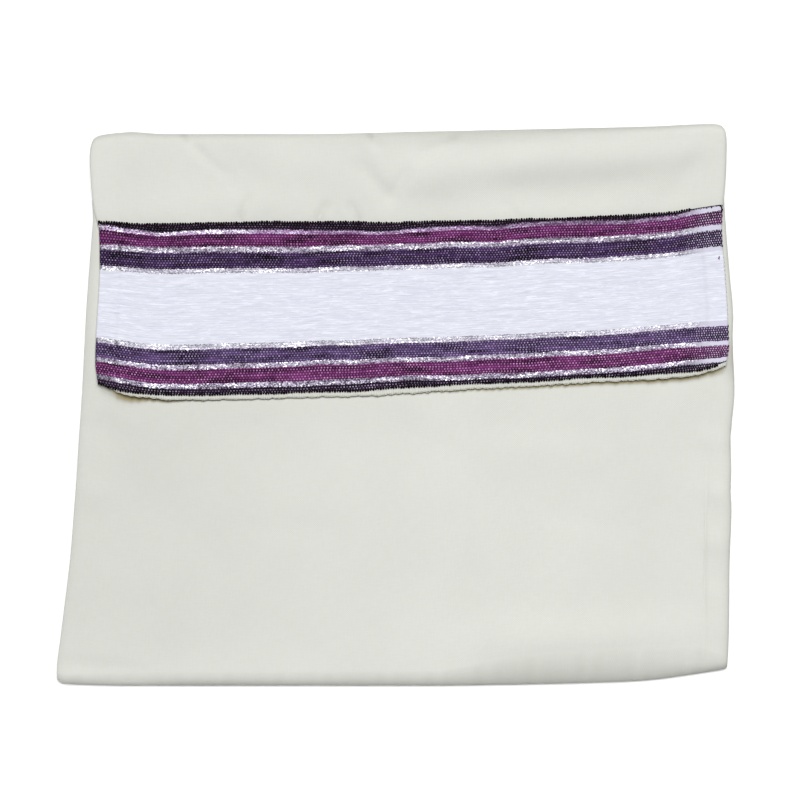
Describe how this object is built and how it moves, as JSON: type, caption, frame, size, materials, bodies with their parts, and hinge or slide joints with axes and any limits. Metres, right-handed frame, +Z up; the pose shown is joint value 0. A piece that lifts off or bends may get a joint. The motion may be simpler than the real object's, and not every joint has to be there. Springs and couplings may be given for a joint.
{
  "type": "folded tallit prayer shawl",
  "caption": "Prayer shawl folded flat into a near-square pile, with a striped woven band sewn across its turned-down end.",
  "frame": {"origin": "middle of the folded shawl's bounding box, on the surface that it rests on", "axes": "+X along the band to its selvedge end, +Y from the bottom fold to the top fold, +Z up from the surface"},
  "size_m": [0.3998, 0.3314, 0.0163],
  "materials": {
    "shawl_cloth": "plain woven cream wool and cotton, matt",
    "striped_band": "handwoven stripes of plum, magenta, violet, silver lurex and slub white, matt with metal glints"
  },
  "bodies": {
    "root": {"turned_down_end": "shawl_cloth", "front_and_underside": "shawl_cloth", "hidden_layers": "shawl_cloth", "woven_band": "striped_band"}
  },
  "joints": []
}
